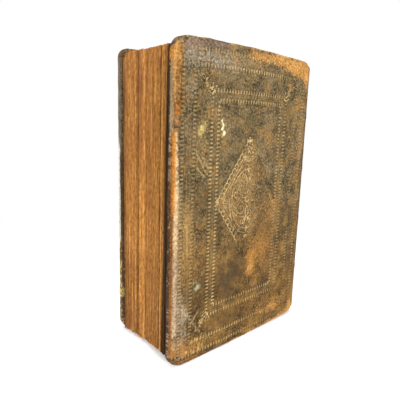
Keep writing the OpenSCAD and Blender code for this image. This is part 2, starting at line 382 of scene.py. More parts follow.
def paper_edge_material():
    """Paint holds the leaf's own tone, the gathering's tone, how near a cut edge is, and stains with painted shade."""
    s = Shade("old_paper")
    leaf, group, edge, stain = s.paint()
    streak = s.noise(1.5, 5, 0.7, s.stretched((1, 1.6, 0.07)))
    fibre = s.noise(1.1, 4, 0.75, s.stretched((1, 1, 0.45)))
    pale_streak = s.noise(1.6, 3, 0.6, s.stretched((1, 2.2, 0.05)))
    cloud = s.noise(11, 4, 0.6)
    page = s.under(s.mix(s.fit(cloud, 0.35, 0.68), (222, 202, 158), (198, 168, 118)),
                   (s.fit(s.noise(2.4, 3, 0.5), 0.66, 0.78, 0, 0.5), (150, 104, 60)))
    tone = s.math("ADD", s.times(leaf, 0.45), s.times(s.fit(streak, 0.32, 0.68), 0.55), clamp=True)
    brown = s.under(s.mix(tone, (94, 48, 10), (222, 158, 76)),
                    (s.fit(fibre, 0.46, 0.64, 0.0, 0.62), (90, 48, 14)),
                    (s.fit(fibre, 0.46, 0.32, 0.0, 0.5), (232, 178, 108)),
                    (s.fit(pale_streak, 0.56, 0.68, 0.0, 0.6), (228, 176, 106)),
                    (s.times(group, s.fit(cloud, 0.3, 0.7, 0.3, 0.8)), (112, 62, 42)))
    # A wormhole drawn as a dark dot: painted shade inside the hole.
    from_wormhole = s.distance(((FORE_U + FORE_X) * MM, -13.2 * MM, 68 * MM))
    # The last layer darkens stains and the painted shade in the gap beside the back cover.
    colour = s.under(page, (edge, brown), (s.fit(from_wormhole, 0.6 * MM, 0.9 * MM, 0.9, 0.0), (20, 10, 6)),
                     (stain, (44, 27, 13)))
    return s.finish(colour, 0.7, 0.2, s.bump(s.plus(streak, s.times(fibre, 0.7)), 0.2))


def plain_paper_material(name, light, deep):
    s = Shade(name)
    laid = s.node("TexWave", {"Scale": 1 / (22 * MM), "Vector": s.where}, bands_direction="X")
    colour = s.under(s.mix(s.fit(s.noise(14, 5, 0.62), 0.3, 0.7), light, deep),
                     (s.fit(s.noise(3, 4, 0.55), 0.62, 0.76, 0, 0.6), (140, 96, 54)))
    height = s.plus(s.noise(0.5, 4, 0.7), s.times(laid.outputs["Fac"], 0.3))
    return s.finish(colour, 0.8, 0.25, s.bump(height, 0.05))


def fibre_material(name, light, deep, size, rough=0.75):
    """Twisted or spun fibre."""
    s = Shade(name)
    strand = s.noise(size, 4, 0.6, s.stretched((1, 1, 0.35)))
    return s.finish(s.mix(s.fit(strand, 0.35, 0.65), deep, light), rough, 0.3, s.bump(strand, 0.1))


def wood_material(name, light, deep):
    s = Shade(name)
    ring = s.noise(1.6, 5, 0.6, s.stretched((1, 1, 0.05)))
    pore = s.noise(0.4, 3, 0.6, s.stretched((1, 1, 0.04)))
    colour = s.under(s.mix(s.fit(ring, 0.3, 0.7), light, deep), (s.fit(pore, 0.58, 0.72, 0, 0.5), (84, 56, 32)))
    return s.finish(colour, 0.68, 0.3, s.bump(pore, 0.08))


def floor_material():
    """A pale floor that turns into an evenly lit white sweep away from the book."""
    s = Shade("pale_floor")
    sweep = s.fit(s.distance((0, 0, 0)), 0.02, 0.32)
    colour = s.mix(s.minus(1.0, sweep), (0, 0, 0, 1), (0.93, 0.93, 0.93, 1))
    return s.finish(colour, 0.9, 0.0, **{"Emission Color": (1, 1, 1, 1), "Emission Strength": sweep})


LEATHER = leather_material()
PAGES = paper_edge_material()
ENDPAPER = plain_paper_material("endpaper", (224, 206, 164), (196, 168, 118))
LINING = plain_paper_material("lining_paper", (226, 216, 188), (200, 184, 146))
CORD = fibre_material("hemp_cord", (206, 186, 142), (148, 124, 84), 0.5)
THREAD = fibre_material("linen_thread", (232, 222, 194), (190, 174, 138), 0.3)
SILK = fibre_material("headband_silk", (176, 148, 104), (110, 84, 54), 0.35, 0.55)
BOARD_WOOD = wood_material("board_wood", (196, 160, 112), (160, 122, 78))
PEG_WOOD = wood_material("peg_wood", (164, 126, 84), (118, 84, 52))


# ------------------------------ blind tooling

def curve(points, half=LINE_HALF, strength=1.0, taper=0.0):
    """A stroke through close points, as rows of (u, z, half width, strength). Taper thins it towards its end."""
    p = np.array(points, float)
    t = np.linspace(0, 1, len(p))[:, None]
    return np.hstack([p, half * (1 - taper * t), np.full((len(p), 1), strength)])


def line(a, b, half=LINE_HALF, strength=1.0):
    a, b = np.array(a, float), np.array(b, float)
    t = np.linspace(0, 1, max(2, int(np.linalg.norm(b - a) / DOT_STEP) + 1))[:, None]
    return curve(a + (b - a) * t, half, strength)


def arc(centre, radius, start, end, half=LINE_HALF, strength=1.0, squash=1.0):
    """Part of a circle, or of an ellipse squashed in z. Angles are in degrees."""
    a = np.radians(np.linspace(start, end, max(6, int(abs(math.radians(end - start)) * radius / DOT_STEP))))
    return curve(np.stack([centre[0] + radius * np.cos(a), centre[1] + radius * squash * np.sin(a)], 1), half, strength)


def spiral(centre, radius, start, turns, half=LINE_HALF):
    """A scroll that starts at its outer end and winds in."""
    t = np.linspace(0, 1, int(40 * abs(turns) * max(radius, 1.5) / 2))
    r = radius * (1 - t * 0.82)
    a = math.radians(start) + t * turns * 2 * math.pi
    return curve(np.stack([centre[0] + r * np.cos(a), centre[1] + r * np.sin(a)], 1), half, taper=0.4)


def turned(root, angle, along, across):
    """The place that lies along and across a direction, in degrees, from a root."""
    c, s = math.cos(math.radians(angle)), math.sin(math.radians(angle))
    return root[0] + along * c - across * s, root[1] + along * s + across * c


def petal(root, angle, long, wide, half=LINE_HALF):
    """A closed leaf shape that points along angle, in degrees."""
    t = np.linspace(0, 2 * math.pi, max(14, int(long * 9)))
    return curve(np.stack(turned(root, angle, long / 2 * (1 - np.cos(t)), wide / 2 * np.sin(t) * np.sin(t / 2)), 1), half)


def mirrored(strokes, centre):
    """The strokes with their mirror images about a centre."""
    out = list(strokes)
    for axis in (0, 1):
        for stroke in list(out):
            other = stroke.copy()
            other[:, axis] = 2 * centre[axis] - other[:, axis]
            out.append(other)
    return out


def tooth_row(a, b, inward):
    """A dogtooth roll from a to b: short wedges that point away from inward."""
    a, b, reach = np.array(a, float), np.array(b, float), np.array(inward) * TOOTH_LONG / 2
    count = int(round(np.linalg.norm(b - a) / TOOTH_PITCH))
    out = []
    for i in range(count + 1):
        middle = a + (b - a) * i / count
        out.append(line(middle + reach, middle - reach, 0.42))
        out[-1][:, 2] *= np.linspace(1.0, 0.45, len(out[-1]))
    return out


def frame_strokes(centre, half, roll):
    """A rectangular border: fillets and teeth, each at its distance outside the given half sizes."""
    teeth_out, fillets, teeth_in = roll
    out = []
    for extra, facing in [(fillet, 0) for fillet in fillets] + [(teeth_out, -1), (teeth_in, 1)]:
        for axis in (0, 1):
            far = np.array(half) + extra
            far[axis] -= 1 if facing else 0
            for side in (-1, 1):
                start, end, inward = (centre - far, centre + far, np.zeros(2))
                inward[1 - axis] = side * facing
                start[1 - axis] = end[1 - axis] = centre[1 - axis] + side * far[1 - axis]
                out += tooth_row(start, end, inward) if facing else [line(start, end, strength=0.62)]
    return out


def fleuron(corner, angle, size):
    """A leaf spray that grows from a corner of the inner frame along angle, in degrees."""
    out = [line(corner, turned(corner, angle, 0.72 * size, 0), 0.3)]
    for along, long, spread in ((0.06, 0.30, 62), (0.24, 0.28, 54), (0.44, 0.25, 48), (0.60, 0.20, 44)):
        for side in (-1, 1):
            root = turned(corner, angle, along * size, 0)
            out.append(petal(root, angle + side * spread, long * size, 0.13 * size, 0.26))
    return out + [petal(turned(corner, angle, 0.70 * size, 0), angle, 0.36 * size, 0.16 * size, 0.28)]


def scalloped(a, b, count, rise, half):
    """A row of small arches from a to b, bulging to the left of that direction."""
    step = (np.array(b) - a) / count
    side = np.array([-step[1], step[0]]) / np.linalg.norm(step)
    t = np.linspace(0, math.pi, 12)[:, None]
    return [curve(a + step * i + step * (1 - np.cos(t)) / 2 + side * rise * np.sin(t), half) for i in range(count)]


def lozenge_strokes(centre, half_u, half_z):
    """The centrepiece: a scalloped lozenge round an oval band of scrolls and leaves."""
    cu, cz = centre
    oval_u, oval_z = half_u * 0.60, half_z * 0.60
    quarter = scalloped((cu, cz + half_z), (cu - half_u, cz), 13, -1.0, 0.34)
    for inset in (0.91, 0.83):
        quarter.append(line((cu, cz + half_z * inset), (cu - half_u * inset, cz), 0.28, 0.9))
    for i in range(1, 13):
        quarter.append(arc((cu - half_u * 0.95 * i / 13, cz + half_z * 0.95 * (1 - i / 13)), 0.32, 0, 360, 0.26, 0.8))
    for share in (1.0, 0.87):
        quarter.append(arc(centre, oval_u * share, 90, 180, 0.28, squash=oval_z / oval_u))
    for i in range(7):
        a = math.radians(96 + i * 14)
        quarter.append(arc((cu + oval_u * 0.935 * math.cos(a), cz + oval_z * 0.935 * math.sin(a)), 0.4, 0, 360, 0.2, 0.6))
    quarter.append(line((cu - 7.4, cz + 8.6), (cu - 10.2, cz + 6.2), 0.3))
    for du, dz, *scroll in ((-4.4, 4.9, 3.9, -80, -1.35, 0.28), (-3.4, 12.0, 2.6, 250, 1.2, 0.28),
                            (-8.6, 2.6, 1.9, 60, 1.1, 0.28), (-2.7, half_z * 0.70, 1.7, 300, 1.2, 0.28),
                            (-half_u * 0.73, 2.1, 1.5, 200, -1.1, 0.2)):
        quarter.append(spiral((cu + du, cz + dz), *scroll))
    for du, dz, *leaf in ((0, 3.2, 90, 6.2, 2.8), (-0.6, 9.6, 118, 4.2, 1.5), (-1.0, 0.6, 152, 3.6, 1.5),
                          (0, 14.6, 90, 3.2, 1.5), (0, half_z * 0.63, 90, 6.4, 2.2), (-0.4, half_z * 0.64, 126, 3.8, 1.3),
                          (-half_u * 0.64, 0, 180, 3.8, 1.8)):
        quarter.append(petal((cu + du, cz + dz), *leaf, 0.28))
    out = mirrored(quarter, centre) + [arc(centre, 1.5, 0, 360, 0.4)]
    for along, angle in ((half_z, 90), (half_z, 270), (half_u, 0), (half_u, 180)):
        for turn in (-58, 0, 58):
            out.append(petal(turned(centre, angle, along - 0.8, 0), angle + turn, 2.4, 1.1, 0.28))
    return out


def border_strokes():
    return frame_strokes(BORDER_CENTRE, BORDER_HALF, BORDER_ROLL) + frame_strokes(INNER_CENTRE, INNER_HALF, INNER_ROLL)


def ornament_strokes():
    out = lozenge_strokes(LOZENGE_CENTRE, *LOZENGE_HALF)
    for su in (-1, 1):
        for sz in (-1, 1):
            root = (INNER_CENTRE[0] + su * (INNER_HALF[0] + 1.0), INNER_CENTRE[1] + sz * (INNER_HALF[1] + 1.0))
            out += fleuron(root, math.degrees(math.atan2(sz, su)), 11.2)
    return out


def tooled(strokes, points):
    """How deep each (u, z) point lies in the strokes, from 0 to 1."""
    dots = np.vstack(strokes)
    tree = kdtree.KDTree(len(dots))
    for i, (u, z) in enumerate(dots[:, :2]):
        tree.insert((u, z, 0), i)
    tree.balance()
    depth = np.zeros(len(points))
    reach = dots[:, 2].max() * 1.9
    for i, (u, z) in enumerate(points):
        for spot, which, gap in tree.find_n((u, z, 0), 2):
            if gap < reach:
                half, strength = dots[which, 2:]
                depth[i] = max(depth[i], strength * (1 - ramp(gap, half * 0.55, half * 1.75)))
    return depth



# ------------------------------ covers

TURN_IN_RINGS, INNER_RINGS, WALL_RINGS, ROUND_RINGS, FLAT_RINGS = 8, 3, 5, 10, 4
RINGS = TURN_IN_RINGS + INNER_RINGS + WALL_RINGS + ROUND_RINGS + FLAT_RINGS
FACE_START = 4.6
FACE_STEP = 0.65
FINE_STEP = 0.36
TURN_IN_W = 13.0
CORNER_R = {("fore", "tail"): 7.0, ("fore", "head"): 7.0, ("joint", "tail"): 5.0, ("joint", "head"): 4.4}
TOOL_DEPTH = 0.3
WAIST_HALF = 68


def virtual_positions(length, fine_from, fine_to):
    """Grid positions across a cover: wrapped rings squeezed near each edge, and steps between, finest in the middle."""
    edge = FACE_START * np.arange(RINGS) / RINGS
    stops = [FACE_START, fine_from, fine_to, length - FACE_START]
    spans = [np.linspace(a, b, int((b - a) / step), endpoint=b == stops[-1])
             for a, b, step in zip(stops, stops[1:], (FACE_STEP, FINE_STEP, FACE_STEP))]
    return np.concatenate([edge, *spans, length - edge[::-1]])


def edge_profile(ring, round_r, turn_in, inner_r):
    """(distance in from the outline, depth below the outer face) of each wrapped ring, from the raw edge outward."""
    stops = np.cumsum([0, TURN_IN_RINGS, INNER_RINGS, WALL_RINGS, ROUND_RINGS, FLAT_RINGS])
    part = [np.clip((ring - stops[i]) / (stops[i + 1] - stops[i]), 0, 1) for i in range(5)]
    inner_angle, outer_angle = part[1] * math.pi / 2, part[3] * math.pi / 2
    parts = [ring < stop for stop in stops[1:5]]
    inset = np.select(parts, [turn_in + (inner_r - turn_in) * part[0], inner_r * (1 - np.sin(inner_angle)), 0 * ring,
                              round_r * (1 - np.cos(outer_angle))], round_r + (FACE_START - round_r) * part[4])
    depth = np.select(parts, [COVER_T + 0 * ring, COVER_T - inner_r * (1 - np.cos(inner_angle)),
                              COVER_T - inner_r + (round_r - COVER_T + inner_r) * part[2],
                              round_r * (1 - np.sin(outer_angle))], 0 * ring)
    return inset, depth


def waist(z):
    """1 at mid-height and 0 near head and tail, where the joint is fullest."""
    return np.clip(1 - ((z - COVER_H / 2) / WAIST_HALF) ** 2, 0, 1)


def cover_outline_grid(side):
    """For each grid point of a cover's skin: u, z, depth, ring number and how much it faces head or tail."""
    along_u, along_z = virtual_positions(COVER_W, 26, 74), virtual_positions(COVER_H, 48, 116)
    vu, vz = np.meshgrid(along_u, along_z)
    column, row = np.meshgrid(np.arange(len(along_u)), np.arange(len(along_z)))
    ring = np.minimum(np.minimum(column, len(along_u) - 1 - column),
                      np.minimum(row, len(along_z) - 1 - row)).astype(float)
    at_fore, at_tail = vu < COVER_W / 2, vz < COVER_H / 2
    a, b = np.minimum(vu, COVER_W - vu), np.minimum(vz, COVER_H - vz)
    corner = np.select(
        [at_fore & at_tail, at_fore & ~at_tail, ~at_fore & at_tail],
        [CORNER_R["fore", "tail"], CORNER_R["fore", "head"] - 2.4 * (side == "front"), CORNER_R["joint", "tail"]],
        CORNER_R["joint", "head"])
    level = np.minimum(a, b)
    beyond = np.maximum(a, b) - level
    on_side = a <= b
    reach = np.maximum(corner - level, 1e-6)
    share = np.clip(beyond / reach, 0, 1)
    facing = np.where(on_side, 0.5 * (1 - share), 1 - 0.5 * (1 - share))
    round_side = np.where(at_fore, 3.1, 1.9 + 1.1 * waist(vz))
    round_r = round_side + (2.0 - round_side) * facing + 0.5 * (1 - np.abs(2 * facing - 1)) * at_fore
    inner_r = np.where(at_fore, 1.6 - 0.8 * facing, 0.8)
    turn_side = np.where(at_fore, TURN_IN_W, 2.0)
    turn_in = turn_side + (TURN_IN_W - turn_side) * facing
    inset, depth = edge_profile(ring, round_r, turn_in, inner_r)
    wrapped = ring < RINGS
    inset = np.where(wrapped, inset, level)
    depth = np.where(wrapped, depth, 0)
    rest_r = np.where(wrapped, 0.6, 0.0)
    centre = np.maximum(corner, inset + rest_r)
    radius = np.maximum(corner - inset, rest_r)
    angle = facing * math.pi / 2
    half = np.where(on_side, COVER_H, COVER_W) / 2
    straight = centre + (np.maximum(a, b) - corner) * (half - centre) / (half - corner)
    round_corner = (beyond < reach) & ((level < corner) | wrapped)
    straight = np.where(wrapped, straight, np.maximum(a, b))
    new_a = np.where(round_corner, centre - radius * np.cos(angle), np.where(on_side, inset, straight))
    new_b = np.where(round_corner, centre - radius * np.sin(angle), np.where(on_side, straight, inset))
    u = np.where(at_fore, new_a, COVER_W - new_a)
    z = np.where(at_tail, new_b, COVER_H - new_b)
    return u, z, depth, ring, facing, at_fore


def blob(u, z, at, size):
    """A soft patch, 1 in the middle."""
    return np.exp(-((u - at[0]) / size[0]) ** 2 - ((z - at[1]) / size[1]) ** 2)


# Patches worn through to suede: (place, size, strength).
BACK_WEAR = [
    ((74, 156.5), (17, 3.2), 1.0), ((88, 154.5), (13, 5.0), 1.05), ((97, 151), (4, 8), 0.9),
    ((54, 156), (10, 2.6), 0.6), ((1.5, 152), (3.2, 9), 1.15), ((1.6, 137), (2.0, 12), 0.95),
    ((76, 10.5), (8.5, 4.4), 1.0), ((60, 14), (9, 4), 0.66), ((12, 6), (8, 6), 0.42), ((97, 5), (5, 5), 0.95),
    ((70, 1.5), (34, 2.4), 0.75), ((55, 43), (4.0, 6.4), 0.72), ((68, 43), (12, 5), 0.36), ((69, 75), (4, 3), 0.45),
    ((90, 132), (5, 4), 0.38), ((65, 112), (4, 4), 0.42), ((98, 100), (1.5, 4), 0.7), ((62, 26), (8, 5), 0.25),
    ((99, 26), (2.5, 24), 0.4)]
FRONT_WEAR = [
    ((12, 6), (12, 6), 0.95), ((4, 152), (6, 8), 0.95), ((72, 155), (22, 3.6), 0.9), ((97, 60), (3, 40), 0.5),
    ((44, 30), (7, 5), 0.55), ((30, 112), (5, 7), 0.4), ((60, 3), (30, 3), 0.7), ((66, 96), (6, 5), 0.35),
    ((84, 14), (9, 6), 0.6), ((1.5, 60), (2, 26), 0.6)]
# Stains, with a few patches of painted sheen in pale grey: (place, size, colour, strength).
OLIVE, BROWN, UMBER = (84, 76, 50), (124, 82, 34), (48, 32, 14)
# The pale grey is painted sheen.
STRAW, CHALK, MAUVE, PAINTED_SHEEN = (206, 180, 108), (226, 214, 160), (120, 94, 86), (178, 168, 152)
OCHRE = (176, 120, 48)
STAINS = [
    ((50, 142), (60, 12), OLIVE, 0.35), ((20, 112), (14, 14), (140, 118, 76), 0.4), ((42, 112), (9, 12), OLIVE, 0.5),
    ((50, 124), (7, 7), OLIVE, 0.5), ((33, 99), (6, 9), OLIVE, 0.5), ((20, 84), (11, 9), UMBER, 0.62),
    ((30, 74), (6, 7), UMBER, 0.4), ((42, 42), (10, 15), UMBER, 0.85), ((30, 36), (14, 12), UMBER, 0.4),
    ((16, 38), (7, 12), UMBER, 0.5), ((36, 17), (16, 5), UMBER, 0.72), ((13, 22), (5, 6), UMBER, 0.35),
    ((82, 128), (6, 12), UMBER, 0.45), ((86, 66), (9, 12), UMBER, 0.5), ((90, 40), (6, 26), UMBER, 0.5),
    ((94, 60), (2.2, 60), UMBER, 0.4), ((74, 34), (9, 6), UMBER, 0.25), ((76, 108), (5, 5), UMBER, 0.25),
    ((66, 57), (10, 15), BROWN, 0.6), ((72, 76), (8, 8), OCHRE, 0.45), ((55.5, 44), (4.5, 7.5), OCHRE, 0.9),
    ((62, 52), (7, 9), OCHRE, 0.4), ((70, 40), (9, 8), BROWN, 0.5), ((66, 18), (14, 8), BROWN, 0.5),
    ((67, 113), (5, 4), (166, 128, 84), 0.5), ((90, 134), (4, 5), OCHRE, 0.4),
    ((95, 100), (4, 40), (164, 128, 78), 0.5), ((8, 60), (6, 16), (168, 124, 60), 0.55),
    ((8, 76), (3.5, 14), (190, 146, 84), 0.5), ((16.1, 119.8), (2.3, 3.2), STRAW, 1.0), ((16, 8), (8, 6), OCHRE, 0.6),
    ((8, 4), (9, 5), (150, 92, 30), 0.5), ((10, 156), (6, 3.4), MAUVE, 0.85), ((24, 158), (14, 2.0), MAUVE, 0.7),
    ((24, 151), (20, 4), PAINTED_SHEEN, 0.5), ((50, 152), (14, 4), (168, 132, 84), 0.5),
    ((34, 120), (3.2, 3.4), (150, 128, 96), 0.5), ((9, 138), (3, 16), PAINTED_SHEEN, 0.3),
    ((6.5, 24), (3.4, 14), PAINTED_SHEEN, 0.55), ((15.2, 40.4), (1.9, 1.9), CHALK, 0.6), ((13, 44.2), (1.2, 1.2), CHALK, 0.5)]
SCRATCHES = [
    ((12, 110), (21.5, 95)), ((17, 106), (22, 99)), ((13.5, 101), (19, 96)), ((5, 40), (8, 28)), ((9, 60), (8, 74)),
    ((9, 28), (18, 15)), ((11, 21), (17, 27)), ((20, 56), (27, 50)), ((58, 96), (72, 78))]


def linear(colour):
    return np.array(srgb(*colour)[:3])


class ColourLayers:
    """A colour and its share at each point of a grid, built up layer by layer: stains, and on the covers also painted
    highlights, painted sheen and painted shade.
    """

    def __init__(self, shape):
        self.colour, self.share = np.zeros((*shape, 3)), np.zeros(shape)

    def add(self, colour, amount):
        amount = np.clip(amount, 0, 1)
        share = 1 - (1 - self.share) * (1 - amount)
        held = (self.share * (1 - amount))[..., None] * self.colour + amount[..., None] * linear(colour)
        self.colour = held / np.maximum(share, 1e-6)[..., None]
        self.share = share

    def rows(self):
        return np.concatenate([self.colour, self.share[..., None]], -1).reshape(-1, 4)


def between(x, low, high, soft):
    return ramp(x, low - soft, low + soft) * (1 - ramp(x, high - soft, high + soft))


def fore_edge_colour_and_light(side, stain, u, z, depth, small):
    """The handled fore-edge: bands of colour that run up the cover's edge, with painted highlights on the face beside
    it, and painted shade at the inner end of its wall and in a crack.
    """
    z, add = z + 5 * small, stain.add

    def deep(low, high, soft=0.3):
        return between(depth, low, high, soft)

    if side == "back":
        face, wall = 1 - ramp(depth, 0.6, 1.2), depth < 7
        add((74, 34, 8), 1.1 * deep(1.6, 7, 0.4) * between(z, 46, 124, 12))
        add((146, 122, 90), 0.95 * deep(1.2, 3.6) * ramp(z, 100, 124) * wall * (0.8 + 0.4 * small))
        add((42, 18, 0), 1.2 * deep(1.8, 7, 0.4) * (1 - ramp(z, 50, 96)))
        # Painted shade at the inner end of the wall, beside the text block.
        add((20, 6, 0), 1.3 * deep(3.9, 7))
        add((122, 64, 6), 1.1 * deep(1.0, 2.3) * between(z, 12, 118, 5))
        add((112, 66, 10), 0.8 * deep(0.6, 1.6) * ramp(z, 96, 110) * wall)
        add((172, 112, 36), deep(1.0, 7, 0.4) * ramp(z, 149, 154))
        add((56, 32, 6), 0.8 * (1 - ramp(u, 3.6, 5.0)) * face * ramp(z, 120, 126) * ramp(small, -0.5, 0.6))
        add((156, 92, 18), 0.9 * between(u, 0.4, 4.0, 0.9) * face * between(z, 121, 142, 6))
        # Painted highlight: cream along the face beside the rounded edge.
        add((212, 180, 136), 0.9 * (1 - ramp(u, 0.6, 6.2 - 3.4 * ramp(z, 86, 114))) * face * between(z, 62, 119, 6))
        add((184, 116, 28), 0.9 * deep(0.5, 1.8) * between(z, 84, 119, 4) * wall)
        # Painted highlight: pale grey along the face beside the edge, lower down.
        add((172, 146, 116), 0.85 * (1 - ramp(u, 0.6, 7.5)) * face * between(z, 14, 62, 6))
        # A crack across the edge, drawn dark: painted shade in the crack.
        add((24, 16, 10), between(u, -1, 3.0, 0.5) * (depth < 1.5) * between(z - 5 * small, 119.6, 120.8, 0.4))
        marks = ((np.cos(z * 2.6) > 0.5) * (1 - ramp(z, 20, 34))
                 + 0.8 * ramp(noise2(z * 1.6, depth * 1.6, 2.0, 95, 2), 0.3, 0.7) * between(z, 34, 126, 6))
        add((206, 172, 132), 0.62 * marks * deep(2.4, 4.2, 0.4))
        flecks = ramp(noise2(u * 1.5, z * 1.5, 2.4, 97, 2), 0.05, 0.5) * (depth < 1.2)
        add((204, 170, 104), 0.75 * flecks * (1 - ramp(z, 9, 15)) * (1 - ramp(u, 14, 30)))
        add((150, 96, 44), 0.7 * deep(-1, 3.0, 0.6) * (u < 9) * (1 - ramp(z, 8, 16)))
    else:
        add((110, 98, 84), 0.7 * deep(0.6, 5.4, 0.6) * ramp(z, 100, 116))
        add((224, 216, 196), 1.3 * deep(1.8, 3.8) * between(z, 56, 108, 8))
        # Dark bands on the far cover's wall; the one at its inner end is painted shade.
        add((40, 27, 20), 0.8 * (deep(0.4, 2.3, 0.4) + deep(4.2, 5.8, 0.4)) * (1 - ramp(z, 96, 112)))
        flecks = ramp(noise2(z, depth * 1.6, 2.2, 91, 2), 0.12, 0.5)
        add((206, 178, 108), 0.9 * flecks * (depth > 0.4) * (1 - ramp(z, 34, 66)))
        add((214, 188, 140), 0.9 * (depth > 0.2) * deep(0.2, 2.4) * (np.cos(z * 1.18 + 2 * small) > 0.86)
            * between(z, 30, 136, 6))


def cover_paint(side, u, z, depth, ring, facing, at_fore, tool, seed, patches):
    """A cover's masks (tooling, wear, darkening, gloss) and its stains, with painted highlights, painted sheen and
    painted shade among them.
    """
    edge = np.minimum(np.minimum(u, COVER_W - u), np.minimum(z, COVER_H - z)) - depth * 0.5
    broad = noise2(u, z, 22, seed)
    small = noise2(u, z, 5, seed + 7, 4)
    fore_wall = at_fore * (1 - facing) * (ring < RINGS)
    wear = sum(weight * blob(u, z, at, size) for at, size, weight in patches)
    wear = wear * (0.85 + 0.55 * small)
    wear += 0.5 * (1 - ramp(edge, 0.0, 2.0)) * (0.7 + 0.7 * small) * (1 - 0.9 * fore_wall)
    wear += 0.08 * ramp(u, 45, 95) + 0.10 * broad - 0.06
    wear -= 0.9 * ramp(depth, 1.0, 2.4) * fore_wall
    wear -= 0.35 * blob(u, z, (1, 128), (4, 9))
    dark = 0.22 * ramp(small + broad, 0.3, 1.3) + 0.3 * ramp(z, 150, 159) * (depth > 1.2)
    # Painted shade: the inner end of the fore-edge wall, beside the text block, darkened.
    dark += fore_wall * 0.75 * ramp(depth, 4.0, 5.2)
    dark += 0.6 * (1 - ramp(u, 3.4, 5.2)) * ramp(z, 119, 127) * (depth < 0.9) * (ring > 12) * ramp(small, -0.7, 0.7)
    # The first term draws a small hole as a dark dot: painted shade inside it.
    dark += 1.3 * blob(u, z, (14.2, 42.2), (0.9, 1.2)) + 0.5 * blob(u, z, (53, 34), (6, 5)) * ramp(small, 0.1, 0.8)
    # These layers hold stains, and also painted highlights, painted sheen and painted shade along the fore-edge.
    stain = ColourLayers(u.shape)
    wobble_u, wobble_z = u + 1.6 * noise2(u, z, 9, seed + 20), z + 1.6 * noise2(u, z, 9, seed + 21)
    for at, size, colour, amount in STAINS:
        if side == "front":
            at = (at[0], COVER_H - at[1])
        stain.add(colour, amount * (0.9 + 0.35 * small) * blob(wobble_u, wobble_z, at, size))
    for a, b in SCRATCHES:
        a, b = np.array(a, float), np.array(b, float)
        t = np.clip(((u - a[0]) * (b - a)[0] + (z - a[1]) * (b - a)[1]) / ((b - a) @ (b - a)), 0, 1)
        gap = np.hypot(u - a[0] - t * (b - a)[0] + 0.4 * small, z - a[1] - t * (b - a)[1])
        stain.add((176, 150, 98), 0.62 * (1 - ramp(gap, 0.2, 0.9)) * (0.75 + 0.5 * small))
    lozenge = np.abs(u - LOZENGE_CENTRE[0]) / LOZENGE_HALF[0] + np.abs(z - LOZENGE_CENTRE[1]) / LOZENGE_HALF[1]
    stain.add((164, 124, 72), 0.44 * (1 - ramp(lozenge, 0.97, 1.03)) * (1 - 0.7 * ramp(u, 50, 66))
              * (1 - 0.6 * ramp(-z, -72, -58)))
    if side == "back":
        chip = (u - 29.5 + 0.10 * (z - 119.8) + 0.6 * np.sin(z * 1.7)) / (0.7 + 0.7 * ramp(z, 123, 117))
        chalky = 0.65 + 0.8 * noise2(u, z, 1.6, seed + 30)
        stain.add(CHALK, 1.25 * chalky * (1 - ramp(np.abs(chip), 0.4, 1.1)) * between(z, 115.6, 124, 0.7))
    fore_edge_colour_and_light(side, stain, u, z, depth + 20 * (1 - fore_wall.clip(0, 1)) * (ring < RINGS), small)
    stain.add((34, 20, 8), 0.85 * (0.75 + 0.5 * small) * (1 - ramp(z, 0.5, 2.4)) * (1 - ramp(u, 12, 40)))
    gloss = between(u, -1, 5, 1.5) * (depth < 2.5) * (1 - ramp(z, 120, 134)) * 0.9 + 0.25 * ramp(broad, 0, 0.8)
    centred = 1 - ramp(lozenge, 1.1, 1.2)
    tool = tool * (1 - centred * (1 - (1 - 0.6 * ramp(u, 50, 64)) * (1 - 0.6 * ramp(-z, -70, -56) * ramp(u, 38, 48))))
    fade = 1 - 0.5 * ramp(u, 56, 92) - 0.25 * (1 - ramp(z, 10, 50)) * ramp(u, 40, 60) - 0.3 * ramp(z, 142, 154)
    kept = np.clip((0.95 + 0.4 * broad) * fade - 0.4 * ramp(wear, 0.35, 0.9), 0.1, 1)
    tool = tool * (centred + (1 - centred) * (1 - 0.6 * ramp(u, 60, 80) * (1 - ramp(z, 20, 60))))
    return stacked(tool * (0.85 + 0.3 * small), wear, dark, gloss), stain.rows(), kept


def bowed(u, z):
    """The outline's slight bow: the head edge swells near its middle, and the tail edge lifts towards the joint."""
    head = 0.2 - 1.4 * ((u - 47) / 50) ** 2
    tail = 1.3 * ((u - 40) / 55) ** 2
    return z + head * z / COVER_H + tail * (1 - z / COVER_H)


def cover_skin(side, seed, patches):
    u, z, depth, ring, facing, at_fore = cover_outline_grid(side)
    seen = (ring >= RINGS - FLAT_RINGS - ROUND_RINGS + 4).ravel()
    spots = stacked(u, z)
    ornament, border = np.zeros(u.size), np.zeros(u.size)
    ornament[seen] = tooled(ornament_strokes(), spots[seen])
    border[seen] = tooled(border_strokes(), spots[seen])
    ornament = ornament.reshape(u.shape)
    tool = np.maximum(ornament, 0.8 * border.reshape(u.shape))
    paint, tint, kept = cover_paint(side, u, z, depth, ring, facing, at_fore, ornament, seed, patches)
    flat = stacked(u, z, kept * (depth < 2))
    relief = 0.16 * noise2(u, z, 13, seed + 3) + 0.05 * noise2(u, z, 2.4, seed + 4)
    on_face = ramp(ring, RINGS - FLAT_RINGS - ROUND_RINGS, RINGS - FLAT_RINGS)
    new_depth = depth + on_face * (TOOL_DEPTH * tool + relief + 0.12)
    rim = (1 - on_face) * (depth > 0.2) * (depth < COVER_T - 0.2)
    lump = rim * (0.22 * noise2(u * 0 + depth * 2, z + u, 6, seed + 9) - 0.1)
    pull_u = np.where(at_fore, 1, -1) * (1 - facing) * lump
    pull_z = np.where(z < COVER_H / 2, 1, -1) * facing * lump
    y = COVER_OUT - new_depth
    points = place(u + pull_u, SIGN[side] * y, bowed(u, z) + pull_z)
    piece = add_piece(f"{side}_cover_skin", points, grid_quads(*u.shape, flip=side == "front"), LEATHER, paint,
                      tint=tint, flat=flat)
    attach(piece, f"{side}_cover")
    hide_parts(f"{side}_cover_leather")


# ------------------------------ text block

